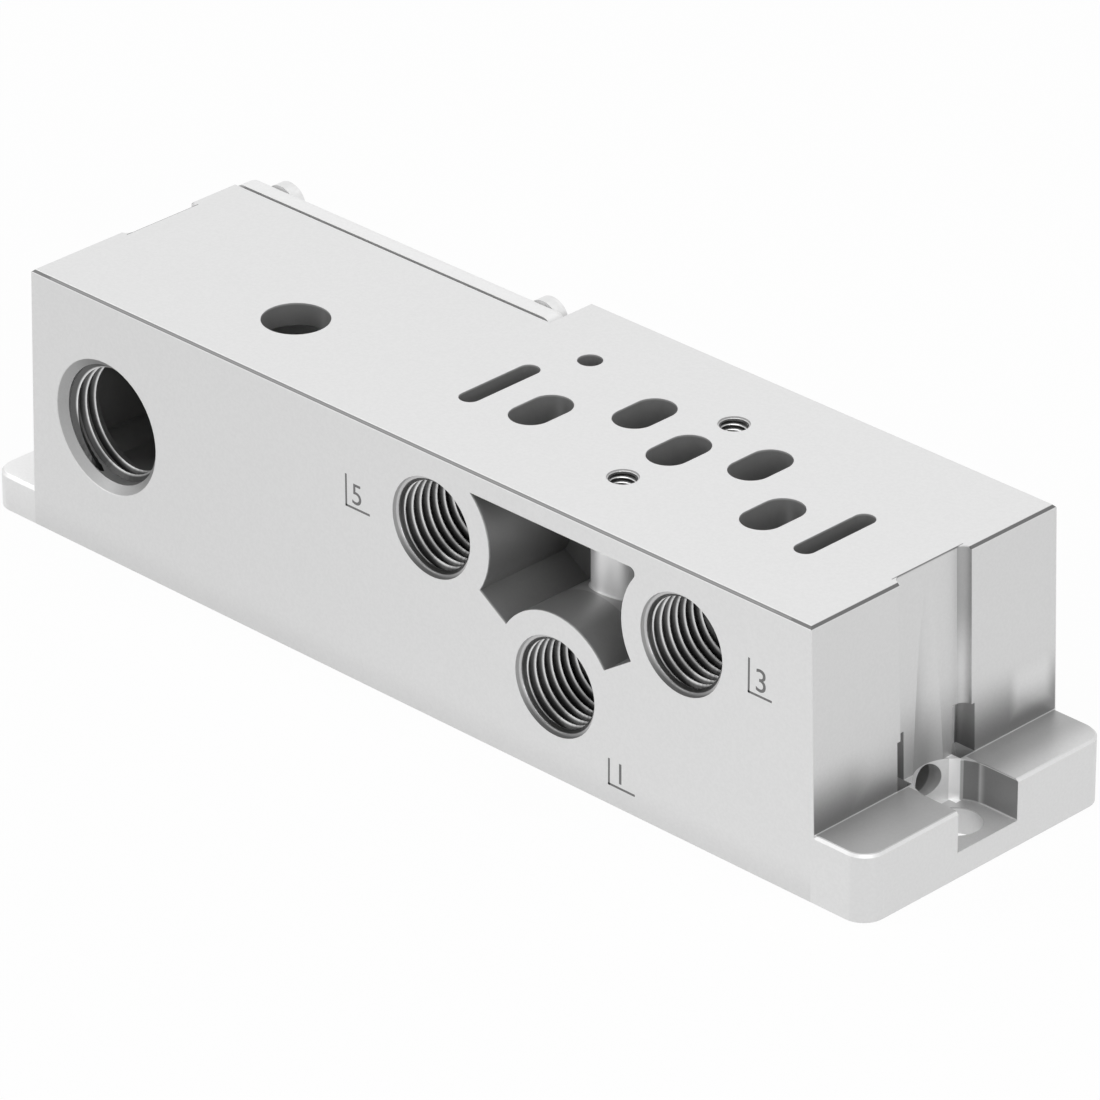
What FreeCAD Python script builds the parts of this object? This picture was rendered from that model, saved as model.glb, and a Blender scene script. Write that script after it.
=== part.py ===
"""Single valve subbase for pneumatics: a machined casting with a wiring compartment at one end.

Frame, in millimetres: X runs along the subbase, towards the foot with the high pads; the front
face, with three threaded ports, looks along -Y; Z points up, to the valve face. The origin is at
the middle of the underside.
"""
import FreeCAD, Part
import math
import os
from enum import IntEnum

import Sketcher

# Driving dimensions: name, value in millimetres, what it sets.
SIZES = (
    ("overall_length", 150.0, "foot tip to foot tip"),
    ("body_width", 42.0, "front face to rear face"),
    ("body_height", 36.0, "underside to valve face"),
    ("foot_reach", 9.0, "foot tip beyond the top edge of its end wall"),
    ("wall_draft", 0.03, "slope of the two end walls, outward per unit down"),
    ("edge_break", 0.4, "chamfer along the top edges"),
    ("left_foot_height", 5.0, "top of the low pads, and of the ledge under the rear cover"),
    ("right_foot_height", 9.0, "top of the high pads"),
    ("foot_corner_radius", 3.0, "upright corners of both feet"),
    ("pad_edge", 0.4, "chamfer round the top of the feet"),
    ("mounting_inset", 5.0, "mounting hole from the tip of its foot"),
    ("mounting_bore", 6.6, "clearance hole for an M6 screw"),
    ("head_clearance", 10.4, "slot and spot face for the screw's head"),
    ("slot_floor", 3.5, "seat of the screw's head above the underside"),
    ("recess_width", 12.3, "driver recess in each end wall"),
    ("recess_depth", 1.3, "how far that recess goes in"),
    ("recess_radius", 1.2, "its two upright inner corners"),
    ("groove_inner", 4.2, "middle plane to the near side of a cast groove"),
    ("groove_width", 2.5, "across one cast groove"),
    ("groove_depth", 2.15, "top end edge to the floor of a cast groove"),
    ("groove_bottom", 2.0, "lower end of the cast grooves"),
    ("groove_top", 15.4, "upper end of the cast grooves"),
    ("pilot_port_bore", 4.2, "core hole of the M5 pilot port in each end wall"),
    ("pilot_port_depth", 8.0, "depth of that core hole below the recess"),
    ("pilot_port_height", 6.8, "its axis above the underside"),
    ("pilot_port_offset", 0.4, "its axis behind the middle plane"),
    ("pilot_drill", 2.5, "air ways between the pilot ports and the pilot slots"),
    ("pattern_inset", 41.0, "middle of the valve pattern from the right top edge"),
    ("port_pitch", 9.5, "between neighbouring air slots"),
    ("air_slot_width", 5.5, "across an air slot"),
    ("air_slot_length", 9.0, "an air slot over its round ends"),
    ("air_slot_offset", 4.0, "of the four outer air slots from the middle plane"),
    ("pilot_reach", 27.5, "pilot slots from the middle of the pattern"),
    ("pilot_slot_width", 2.85, "across a pilot slot"),
    ("pilot_slot_length", 12.85, "a pilot slot over its round ends"),
    ("pilot_slot_offset", 2.5, "pilot slots in front of the middle plane"),
    ("pilot_slot_depth", 8.0, "depth of a pilot slot"),
    ("valve_screw_pitch", 19.0, "between the two valve screws"),
    ("valve_screw_bore", 4.0, "M4, at the outside of its thread"),
    ("valve_screw_depth", 11.0, "depth of the M4 holes"),
    ("locating_reach", 24.0, "locating hole from the middle of the pattern"),
    ("locating_offset", 9.5, "locating hole behind the middle plane"),
    ("locating_bore", 3.2, "locating hole"),
    ("locating_depth", 5.0, "depth of the locating hole"),
    ("port_bore", 13.157, "G1/4, at the outside of its thread"),
    ("port_bore_depth", 12.0, "threaded length of the G1/4 ports"),
    ("air_drill", 9.2, "air ways from the ports to the air slots"),
    ("air_overrun", 1.4, "slots below the ports' axes, and drills past the slots' middles"),
    ("upper_port_drop", 10.1, "axes of ports 5, 3, 4 and 2 below the valve face"),
    ("lower_port_height", 12.3, "axis of port 1"),
    ("front_port_reach", 20.6, "ports 5 and 3 from the middle of the pattern"),
    ("rear_port_reach", 10.5, "ports 4 and 2 from the middle of the pattern"),
    ("port_wall_radius", 9.7, "round walls of the ports inside the front pocket"),
    ("pocket_roof", 2.93, "metal over the front pocket"),
    ("pocket_depth", 14.5, "front face to the back of the front pocket"),
    ("pocket_tip_radius", 0.8, "upper right tip of the front pocket"),
    ("screw_boss_radius", 3.8, "boss of the front valve screw inside the pocket"),
    ("gland_inset", 12.94, "gland port from the left top edge"),
    ("gland_height", 18.56, "axis of the gland port"),
    ("gland_bore", 16.0, "M16, at the outside of its thread"),
    ("gland_chamfer", 1.05, "lead-in of the gland port"),
    ("wire_bore", 8.7, "wire hole from the compartment to the valve"),
    ("wire_inset", 33.4, "wire hole from the left top edge"),
    ("wire_offset", 7.6, "wire hole in front of the middle plane"),
    ("cover_step_x", -9.6, "upright wall at the right end of the rear cover"),
    ("cover_step_depth", 7.65, "rear face to the seat of the cover's seal"),
    ("cover_overhang", 0.1, "cover beyond the left top edge"),
    ("cover_gap", 0.3, "around the cover, at its ledge and its step wall"),
    ("cover_thickness", 3.2, "plate of the rear cover"),
    ("cover_corner_radius", 1.5, "corners of the cover's outline"),
    ("cover_edge_radius", 1.3, "rounded rim of the cover"),
    ("seal_thickness", 0.5, "flat seal under the cover"),
    ("seal_inset", 0.3, "seal inside the outline of the cover"),
    ("chamber_end_wall", 4.0, "left top edge to the compartment"),
    ("chamber_step_wall", 4.4, "step wall to the compartment"),
    ("chamber_roof", 3.0, "metal over the compartment"),
    ("chamber_floor", 10.5, "lower side of the compartment"),
    ("chamber_front_wall", 6.0, "metal between the compartment and the front face"),
    ("cover_screw_inset", 4.9, "cover screws from the ends of the cover"),
    ("cover_screw_drop", 2.8, "upper cover screws below the valve face"),
    ("cover_screw_rise", 3.5, "lower cover screws above the cover's ledge"),
    ("screw_post_radius", 3.6, "posts of the cover screws in the compartment"),
    ("screw_thread", 3.0, "M3 cover screw"),
    ("screw_play", 0.05, "between a screw's shank and its threaded hole"),
    ("screw_length", 10.0, "below the head"),
    ("screw_tip", 0.5, "chamfer at the end of the shank"),
    ("screw_hole_depth", 8.0, "threaded hole in a post"),
    ("screw_passage", 3.4, "clearance hole in the cover and its seal"),
    ("head_diameter", 5.5, "cheese head of the cover screw"),
    ("head_height", 2.0, "height of that head"),
    ("head_edge", 0.25, "chamfer round the head"),
    ("driver_slot_width", 0.8, "driver slot across the head"),
    ("driver_slot_depth", 0.85, "depth of that slot"),
)

# Places worked out from the driving dimensions, for the sketches below.
HALF_TOP = "(sizes.overall_length / 2 - sizes.foot_reach)"
HALF_WIDTH = "sizes.body_width / 2"
LEFT_EDGE = "(sizes.foot_reach - sizes.overall_length / 2)"
PATTERN_X = f"({HALF_TOP} - sizes.pattern_inset)"
UPPER_PORT = "(sizes.body_height - sizes.upper_port_drop)"
MOUNTING_X = "(sizes.overall_length / 2 - sizes.mounting_inset)"
COVER_LEFT = f"({LEFT_EDGE} - sizes.cover_overhang)"
COVER_RIGHT = "(sizes.cover_step_x - sizes.cover_gap)"
COVER_BOTTOM = "(sizes.left_foot_height + sizes.cover_gap)"
COVER_TOP = "sizes.body_height"
SEAT_Y = "(sizes.body_width / 2 - sizes.cover_step_depth)"
PLATE_Y = "(sizes.body_width / 2 - sizes.cover_step_depth + sizes.seal_thickness)"
SCREW_LEFT = f"({LEFT_EDGE} - sizes.cover_overhang + sizes.cover_screw_inset)"
SCREW_RIGHT = "(sizes.cover_step_x - sizes.cover_screw_inset)"
SCREW_TOP = "(sizes.body_height - sizes.cover_screw_drop)"
SCREW_BOTTOM = "(sizes.left_foot_height + sizes.cover_screw_rise)"
SCREW_AXES = (
    (SCREW_LEFT, SCREW_TOP),
    (SCREW_RIGHT, SCREW_TOP),
    (SCREW_RIGHT, SCREW_BOTTOM),
    (SCREW_LEFT, SCREW_BOTTOM),
)

CLEAR_OF_PART = 5.0
SAME_PLACE = 0.01


class Point(IntEnum):
    """Numbers that a sketch uses for the points of a curve."""

    START = 1
    END = 2
    CENTRE = 3


class Axis(IntEnum):
    """Numbers that a sketch uses for its own axes."""

    X = -1
    Y = -2


ORIGIN = (Axis.X, Point.START)

document = FreeCAD.newDocument("valve_subbase")
sizes = document.addObject("Spreadsheet::Sheet", "sizes")
for row, (alias, size, meaning) in enumerate(SIZES, start=1):
    sizes.set(f"A{row}", str(size))
    sizes.setAlias(f"A{row}", alias)
    sizes.set(f"B{row}", meaning)
document.recompute()


def measure(expression):
    """Return what an expression of the sheet's sizes comes to now."""
    return float(sizes.evalExpression(expression.replace("sizes.", "")))


def new_body(name):
    """Start one piece, labelled with its node's name."""
    body = document.addObject("PartDesign::Body", name)
    body.Label = name
    return body


def new_sketch(body, name, plane, offset="0"):
    """Attach a sketch to one of the body's origin planes, moved along that plane's normal."""
    sketch = body.newObject("Sketcher::SketchObject", name)
    support = next(item for item in body.Origin.OriginFeatures if item.Role == plane)
    sketch.AttachmentSupport = [(support, "")]
    sketch.MapMode = "FlatFace"
    sketch.setExpression("AttachmentOffset.Base.z", offset)
    return sketch


def pin(sketch, point, across, up):
    """Hold one point of a sketch at two expressions, measured from the sketch's origin."""
    for kind, axis, expression in (("DistanceX", Axis.Y, across), ("DistanceY", Axis.X, up)):
        if expression == "0":
            sketch.addConstraint(Sketcher.Constraint("PointOnObject", *point, axis))
        else:
            fixed = Sketcher.Constraint(kind, *ORIGIN, *point, measure(expression))
            number = sketch.addConstraint(fixed)
            sketch.setExpression(f"Constraints[{number}]", expression)


def set_radius(sketch, curve, radius):
    """Give a circle or an arc the radius that an expression names."""
    number = sketch.addConstraint(Sketcher.Constraint("Radius", curve, measure(radius)))
    sketch.setExpression(f"Constraints[{number}]", radius)


def vector(across, up):
    """Turn a pair of expressions into a point of a sketch."""
    return FreeCAD.Vector(measure(across), measure(up), 0)


def draw_polygon(sketch, corners):
    """Draw a closed outline of straight lines through the given corners."""
    lines = []
    for first, second in zip(corners, corners[1:] + corners[:1]):
        lines.append(sketch.addGeometry(Part.LineSegment(vector(*first), vector(*second)), False))
    for line, following in zip(lines, lines[1:] + lines[:1]):
        sketch.addConstraint(Sketcher.Constraint("Coincident", line, Point.END, following, Point.START))
    for line, corner in zip(lines, corners):
        pin(sketch, (line, Point.START), *corner)


def draw_circle(sketch, across, up, diameter):
    """Draw one circle about a point."""
    radius = f"({diameter}) / 2"
    shape = Part.Circle(vector(across, up), FreeCAD.Vector(0, 0, 1), measure(radius))
    circle = sketch.addGeometry(shape, False)
    pin(sketch, (circle, Point.CENTRE), across, up)
    set_radius(sketch, circle, radius)


def draw_arc(sketch, centre, radius, first, last):
    """Draw an arc anticlockwise between two angles in radians; its centre and radius are held."""
    whole = Part.Circle(vector(*centre), FreeCAD.Vector(0, 0, 1), measure(radius))
    arc = sketch.addGeometry(Part.ArcOfCircle(whole, first, last), False)
    pin(sketch, (arc, Point.CENTRE), *centre)
    set_radius(sketch, arc, radius)
    return arc


def draw_slot(sketch, across, up, width, length):
    """Draw a slot with round ends, long in the sketch's upright direction."""
    radius = f"{width} / 2"
    reach = f"({length} - {width}) / 2"
    upper, lower = f"{up} + {reach}", f"{up} - {reach}"
    left, right = f"{across} - {radius}", f"{across} + {radius}"
    top = draw_arc(sketch, (across, upper), radius, 0, math.pi)
    down = sketch.addGeometry(Part.LineSegment(vector(left, upper), vector(left, lower)), False)
    bottom = draw_arc(sketch, (across, lower), radius, math.pi, 2 * math.pi)
    rise = sketch.addGeometry(Part.LineSegment(vector(right, lower), vector(right, upper)), False)
    chain = (top, down, bottom, rise)
    for curve, following in zip(chain, chain[1:] + chain[:1]):
        sketch.addConstraint(Sketcher.Constraint("Tangent", curve, Point.END, following, Point.START))


def draw_rounded_box(sketch, left, right, low, high, radius):
    """Draw an upright rectangle whose four corners are arcs."""
    inner_left, inner_right = f"{left} + {radius}", f"{right} - {radius}"
    inner_low, inner_high = f"{low} + {radius}", f"{high} - {radius}"
    quarter = math.pi / 2
    arcs = [
        draw_arc(sketch, (inner_right, inner_high), radius, 0, quarter),
        draw_arc(sketch, (inner_left, inner_high), radius, quarter, 2 * quarter),
        draw_arc(sketch, (inner_left, inner_low), radius, 2 * quarter, 3 * quarter),
        draw_arc(sketch, (inner_right, inner_low), radius, 3 * quarter, 4 * quarter),
    ]
    sides = (
        ((inner_right, high), (inner_left, high)),
        ((left, inner_high), (left, inner_low)),
        ((inner_left, low), (inner_right, low)),
        ((right, inner_low), (right, inner_high)),
    )
    for arc, following, (start, finish) in zip(arcs, arcs[1:] + arcs[:1], sides):
        side = sketch.addGeometry(Part.LineSegment(vector(*start), vector(*finish)), False)
        sketch.addConstraint(Sketcher.Constraint("Tangent", arc, Point.END, side, Point.START))
        sketch.addConstraint(Sketcher.Constraint("Tangent", side, Point.END, following, Point.START))


def pad(body, name, sketch, length, midplane=False):
    """Add the sketch's outline, along its normal or to both sides of it."""
    feature = body.newObject("PartDesign::Pad", name)
    feature.Profile = sketch
    feature.SideType = "Symmetric" if midplane else "One side"
    feature.setExpression("Length", length)
    document.recompute()
    return feature


def pocket(body, name, sketch, length, along_normal=False, midplane=False):
    """Cut the sketch's outline against its normal, along it, or to both sides of it."""
    before = body.Shape.Volume
    feature = body.newObject("PartDesign::Pocket", name)
    feature.Profile = sketch
    feature.Reversed = along_normal
    feature.SideType = "Symmetric" if midplane else "One side"
    feature.setExpression("Length", length)
    document.recompute()
    if feature.Shape.isNull() or feature.Shape.Volume >= before:
        raise RuntimeError(f"{name} cuts nothing from {body.Label}")
    return feature


def dress(body, kind, name, is_edge, amount):
    """Round or chamfer the edges of the body that a test picks."""
    edges = [f"Edge{i}" for i, edge in enumerate(body.Shape.Edges, start=1) if is_edge(edge)]
    if not edges:
        raise RuntimeError(f"{name} finds no edge on {body.Label}")
    dressed = body.Tip
    feature = body.newObject(f"PartDesign::{kind}", name)
    feature.Base = (dressed, edges)
    feature.setExpression("Size" if kind == "Chamfer" else "Radius", amount)
    document.recompute()
    return feature


def near(value, expression):
    """Say whether a coordinate is at the place that an expression names."""
    return abs(value - measure(expression)) < SAME_PLACE


def draw_chamber(sketch):
    """Draw the compartment's opening: a rectangle that the four screw posts bite into."""
    left = f"({LEFT_EDGE} + sizes.chamber_end_wall)"
    right = "(sizes.cover_step_x - sizes.chamber_step_wall)"
    low = "sizes.chamber_floor"
    high = "(sizes.body_height - sizes.chamber_roof)"
    radius = "sizes.screw_post_radius"
    full = measure(radius)
    corners = (
        (SCREW_LEFT, SCREW_TOP, left, high),
        (SCREW_LEFT, SCREW_BOTTOM, left, low),
        (SCREW_RIGHT, SCREW_BOTTOM, right, low),
        (SCREW_RIGHT, SCREW_TOP, right, high),
    )
    sides_meet = []
    posts = []
    for number, (screw_x, screw_z, side, level) in enumerate(corners):
        aside = measure(side) - measure(screw_x)
        over = measure(level) - measure(screw_z)
        inward = 1 if screw_x == SCREW_LEFT else -1
        upward = 1 if screw_z == SCREW_BOTTOM else -1
        on_level = (inward * math.sqrt(full**2 - over**2), over)
        on_side = (aside, upward * math.sqrt(full**2 - aside**2))
        ends = (on_level, on_side) if number % 2 == 0 else (on_side, on_level)
        first, last = sorted_turn(ends)
        posts.append(draw_arc(sketch, (screw_x, screw_z), radius, first, last))
        middle_x, middle_z = measure(screw_x), measure(screw_z)
        sides_meet.append([(middle_x + x, middle_z + z) for x, z in ends])
    for number, post in enumerate(posts):
        following = (number + 1) % len(posts)
        start = FreeCAD.Vector(*sides_meet[number][1], 0)
        finish = FreeCAD.Vector(*sides_meet[following][0], 0)
        line = sketch.addGeometry(Part.LineSegment(start, finish), False)
        from_end = arc_end_near(sketch, post, start)
        to_end = arc_end_near(sketch, posts[following], finish)
        sketch.addConstraint(Sketcher.Constraint("Coincident", line, Point.START, post, from_end))
        sketch.addConstraint(Sketcher.Constraint("Coincident", line, Point.END, posts[following], to_end))
        upright = number % 2 == 0
        sketch.addConstraint(Sketcher.Constraint("Vertical" if upright else "Horizontal", line))
        level = (left, low, right, high)[number]
        kind = "DistanceX" if upright else "DistanceY"
        held = Sketcher.Constraint(kind, *ORIGIN, line, Point.START, measure(level))
        sketch.setExpression(f"Constraints[{sketch.addConstraint(held)}]", level)


def sorted_turn(ends):
    """Return the angles of two points about a centre, ordered so that the turn between is short."""
    first, last = (math.atan2(up, across) % (2 * math.pi) for across, up in ends)
    if (last - first) % (2 * math.pi) > math.pi:
        first, last = last, first
    return first, last if last > first else last + 2 * math.pi


def arc_end_near(sketch, arc, place):
    """Return which end of an arc lies at a point."""
    curve = sketch.Geometry[arc]
    return Point.START if curve.StartPoint.distanceToPoint(place) < SAME_PLACE else Point.END


def make_subbase_body():
    """Build the casting: block, feet, valve face, ports, air ways, front pocket, compartment."""
    body = new_body("subbase_body")
    build_block(body)
    cut_end_walls(body)
    cut_front_pocket(body)
    cut_valve_face(body)
    cut_ports(body)
    cut_pilot_ports(body)
    cut_compartment(body)
    return body


def build_block(body):
    """Extrude the side profile of the block and its two feet, and round the feet's corners."""
    foot_end = "sizes.overall_length / 2"
    drop = "(sizes.body_height - sizes.{side}_foot_height)"
    wall = f"({HALF_TOP} + sizes.wall_draft * {drop})"
    left_wall, right_wall = wall.format(side="left"), wall.format(side="right")
    broken_wall = f"({HALF_TOP} + sizes.wall_draft * sizes.edge_break)"
    broken_top = f"({HALF_TOP} - sizes.edge_break)"
    under_top = "sizes.body_height - sizes.edge_break"
    profile = new_sketch(body, "side_profile", "XZ_Plane")
    draw_polygon(profile, [
        (f"-{foot_end}", "0"),
        (foot_end, "0"),
        (foot_end, "sizes.right_foot_height"),
        (right_wall, "sizes.right_foot_height"),
        (broken_wall, under_top),
        (broken_top, "sizes.body_height"),
        (f"-{broken_top}", "sizes.body_height"),
        (f"-{broken_wall}", under_top),
        (f"-{left_wall}", "sizes.left_foot_height"),
        (f"-{foot_end}", "sizes.left_foot_height"),
    ])
    pad(body, "block", profile, "sizes.body_width", midplane=True)
    dress(body, "Fillet", "foot_corners", is_foot_corner, "sizes.foot_corner_radius")
    dress(body, "Chamfer", "pad_edges", is_pad_edge, "sizes.pad_edge")
    dress(body, "Chamfer", "long_edge_break", is_long_top_edge, "sizes.edge_break")


def is_foot_corner(edge):
    """Pick the upright edges at the tips of the feet."""
    bounds = edge.BoundBox
    upright = bounds.XLength < SAME_PLACE and bounds.YLength < SAME_PLACE
    return upright and near(abs(bounds.XMin), "sizes.overall_length / 2")


def is_pad_edge(edge):
    """Pick the edges round the top of a foot, without the one along the end wall."""
    bounds = edge.BoundBox
    on_right = bounds.XMin > 0 and near(bounds.ZMin, "sizes.right_foot_height")
    on_left = bounds.XMax < 0 and near(bounds.ZMin, "sizes.left_foot_height")
    along_wall = bounds.XLength < SAME_PLACE and not near(abs(bounds.XMin), "sizes.overall_length / 2")
    return (on_right or on_left) and bounds.ZLength < SAME_PLACE and not along_wall


def is_long_top_edge(edge):
    """Pick the long front and rear edges of the valve face."""
    bounds = edge.BoundBox
    at_side = bounds.YLength < SAME_PLACE and near(abs(bounds.YMin), HALF_WIDTH)
    return at_side and near(bounds.ZMin, "sizes.body_height")


def cut_end_walls(body):
    """Cut the driver recesses, the screw seats, the mounting holes and the cast grooves."""
    recesses = new_sketch(body, "driver_recess_profile", "XZ_Plane")
    for side, sign in (("left", "-1"), ("right", "1")):
        drop = f"(sizes.body_height - sizes.{side}_foot_height)"
        floor_top = f"({HALF_TOP} - sizes.recess_depth)"
        floor_foot = f"({floor_top} + sizes.wall_draft * {drop})"
        outside = f"({HALF_TOP} + {CLEAR_OF_PART})"
        draw_polygon(recesses, [
            (f"{sign} * {floor_top}", "sizes.body_height"),
            (f"{sign} * {floor_foot}", f"sizes.{side}_foot_height"),
            (f"{sign} * {outside}", f"sizes.{side}_foot_height"),
            (f"{sign} * {outside}", "sizes.body_height"),
        ])
    pocket(body, "driver_recesses", recesses, "sizes.recess_width", midplane=True)
    dress(body, "Fillet", "recess_corners", is_recess_corner, "sizes.recess_radius")
    seats = new_sketch(body, "screw_seat_plan", "XY_Plane", "sizes.slot_floor")
    holes = new_sketch(body, "mounting_hole_plan", "XY_Plane", "sizes.slot_floor")
    for sign in ("-1", "1"):
        hole_x = f"{sign} * {MOUNTING_X}"
        draw_open_slot(seats, int(sign), hole_x)
        draw_circle(holes, hole_x, "0", "sizes.mounting_bore")
    pocket(body, "screw_seats", seats, "sizes.body_height", along_normal=True)
    pocket(body, "mounting_holes", holes, "sizes.slot_floor")
    grooves = new_sketch(body, "groove_plan", "XY_Plane", "sizes.groove_bottom")
    inner = f"({HALF_TOP} - sizes.groove_depth)"
    for side, sign in (("left", "-1"), ("right", "1")):
        drop = f"(sizes.body_height - sizes.{side}_foot_height)"
        outer = f"({HALF_TOP} + sizes.wall_draft * {drop})"
        for hand in ("-1", "1"):
            beside = f"{hand} * sizes.groove_inner"
            beyond = f"{hand} * (sizes.groove_inner + sizes.groove_width)"
            draw_polygon(grooves, [
                (f"{sign} * {inner}", beside),
                (f"{sign} * {outer}", beside),
                (f"{sign} * {outer}", beyond),
                (f"{sign} * {inner}", beyond),
            ])
    rise = "sizes.groove_top - sizes.groove_bottom"
    pocket(body, "cast_grooves", grooves, rise, along_normal=True)


def is_recess_corner(edge):
    """Pick the edges between the floor of a driver recess and its two sides."""
    bounds = edge.BoundBox
    at_side = bounds.YLength < SAME_PLACE and near(abs(bounds.YMin), "sizes.recess_width / 2")
    inner = min(abs(bounds.XMin), abs(bounds.XMax))
    on_floor = near(inner, f"{HALF_TOP} - sizes.recess_depth")
    return at_side and on_floor and bounds.ZLength > measure("sizes.body_height") / 2


def draw_open_slot(sketch, side, hole_x):
    """Draw a slot that is round about the mounting hole and open at the foot's tip."""
    radius = "sizes.head_clearance / 2"
    tip = f"{side} * (sizes.overall_length / 2 + {CLEAR_OF_PART})"
    quarter = math.pi / 2
    middle = quarter if side > 0 else -quarter
    arc = draw_arc(sketch, (hole_x, "0"), radius, middle, middle + math.pi)
    first, last = (radius, f"-{radius}") if side > 0 else (f"-{radius}", radius)
    along_last = sketch.addGeometry(Part.LineSegment(vector(hole_x, last), vector(tip, last)), False)
    across_tip = sketch.addGeometry(Part.LineSegment(vector(tip, last), vector(tip, first)), False)
    along_first = sketch.addGeometry(Part.LineSegment(vector(tip, first), vector(hole_x, first)), False)
    sketch.addConstraint(Sketcher.Constraint("Tangent", arc, Point.END, along_last, Point.START))
    sketch.addConstraint(Sketcher.Constraint("Coincident", along_last, Point.END, across_tip, Point.START))
    sketch.addConstraint(Sketcher.Constraint("Coincident", across_tip, Point.END, along_first, Point.START))
    sketch.addConstraint(Sketcher.Constraint("Tangent", along_first, Point.END, arc, Point.START))
    sketch.addConstraint(Sketcher.Constraint("Horizontal", along_last))
    sketch.addConstraint(Sketcher.Constraint("Horizontal", along_first))
    sketch.addConstraint(Sketcher.Constraint("Vertical", across_tip))
    held = Sketcher.Constraint("DistanceX", *ORIGIN, across_tip, Point.START, measure(tip))
    sketch.setExpression(f"Constraints[{sketch.addConstraint(held)}]", tip)


def cut_front_pocket(body):
    """Cut the pocket between the three front ports and stand the valve screw's boss in it."""
    outline = new_sketch(body, "front_pocket_outline", "XZ_Plane", HALF_WIDTH)
    draw_pocket_outline(outline)
    pocket(body, "front_pocket", outline, "sizes.pocket_depth")
    dress(body, "Fillet", "pocket_tip", is_pocket_tip, "sizes.pocket_tip_radius")
    in_wall = "(sizes.lower_port_height + (sizes.port_bore / 2 + sizes.port_wall_radius) / 2)"
    boss = new_sketch(body, "screw_boss_plan", "XY_Plane", in_wall)
    across = PATTERN_X
    draw_circle(boss, across, "-sizes.valve_screw_pitch / 2", "2 * sizes.screw_boss_radius")
    pad(body, "screw_boss", boss, f"sizes.body_height - sizes.pocket_roof / 2 - {in_wall}")


def draw_pocket_outline(sketch):
    """Draw a flat roof over three arcs about the ports, joined along the lines of centres."""
    middle = (measure(PATTERN_X), measure("sizes.lower_port_height"))
    reach = measure("sizes.front_port_reach")
    lift = measure(UPPER_PORT) - middle[1]
    radius = measure("sizes.port_wall_radius")
    apart = math.hypot(reach, lift)
    across, up = radius * reach / apart, radius * lift / apart
    roof = "(sizes.body_height - sizes.pocket_roof)"
    over = measure(roof) - measure(UPPER_PORT)
    inside = math.sqrt(radius**2 - over**2)
    port_centres = (
        (f"({PATTERN_X} - sizes.front_port_reach)", UPPER_PORT),
        (PATTERN_X, "sizes.lower_port_height"),
        (f"({PATTERN_X} + sizes.front_port_reach)", UPPER_PORT),
    )
    turns = (
        (-math.atan2(up, across), math.atan2(over, inside)),
        (math.atan2(up, across), math.pi - math.atan2(up, across)),
        (math.pi - math.atan2(over, inside), math.pi + math.atan2(up, across)),
    )
    left, low, right = (
        draw_arc(sketch, centre, "sizes.port_wall_radius", *turn)
        for centre, turn in zip(port_centres, turns)
    )
    joints = (
        (left, Point.START, low, Point.END),
        (low, Point.START, right, Point.END),
        (right, Point.START, left, Point.END),
    )
    for first, first_end, second, second_end in joints:
        start = sketch.getPoint(first, first_end)
        finish = sketch.getPoint(second, second_end)
        line = sketch.addGeometry(Part.LineSegment(start, finish), False)
        sketch.addConstraint(Sketcher.Constraint("Coincident", line, Point.START, first, first_end))
        sketch.addConstraint(Sketcher.Constraint("Coincident", line, Point.END, second, second_end))
        if first is right:
            sketch.addConstraint(Sketcher.Constraint("Horizontal", line))
            held = Sketcher.Constraint("DistanceY", *ORIGIN, line, Point.START, measure(roof))
            sketch.setExpression(f"Constraints[{sketch.addConstraint(held)}]", roof)
        else:
            hold_on_line_of_centres(sketch, line, first, second)


def hold_on_line_of_centres(sketch, line, first, second):
    """Keep a line's ends on the straight line between the centres of two arcs."""
    shape = Part.LineSegment(sketch.getPoint(first, Point.CENTRE), sketch.getPoint(second, Point.CENTRE))
    centres = sketch.addGeometry(shape, True)
    sketch.addConstraint(Sketcher.Constraint("Coincident", centres, Point.START, first, Point.CENTRE))
    sketch.addConstraint(Sketcher.Constraint("Coincident", centres, Point.END, second, Point.CENTRE))
    sketch.addConstraint(Sketcher.Constraint("PointOnObject", line, Point.START, centres))
    sketch.addConstraint(Sketcher.Constraint("PointOnObject", line, Point.END, centres))


def is_pocket_tip(edge):
    """Pick the pocket's upper right edge, where its roof meets the wall of the right port."""
    bounds = edge.BoundBox
    through = bounds.XLength < SAME_PLACE and bounds.ZLength < SAME_PLACE
    at_roof = near(bounds.ZMin, "sizes.body_height - sizes.pocket_roof")
    return through and at_roof and bounds.XMin > measure(PATTERN_X)


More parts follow.
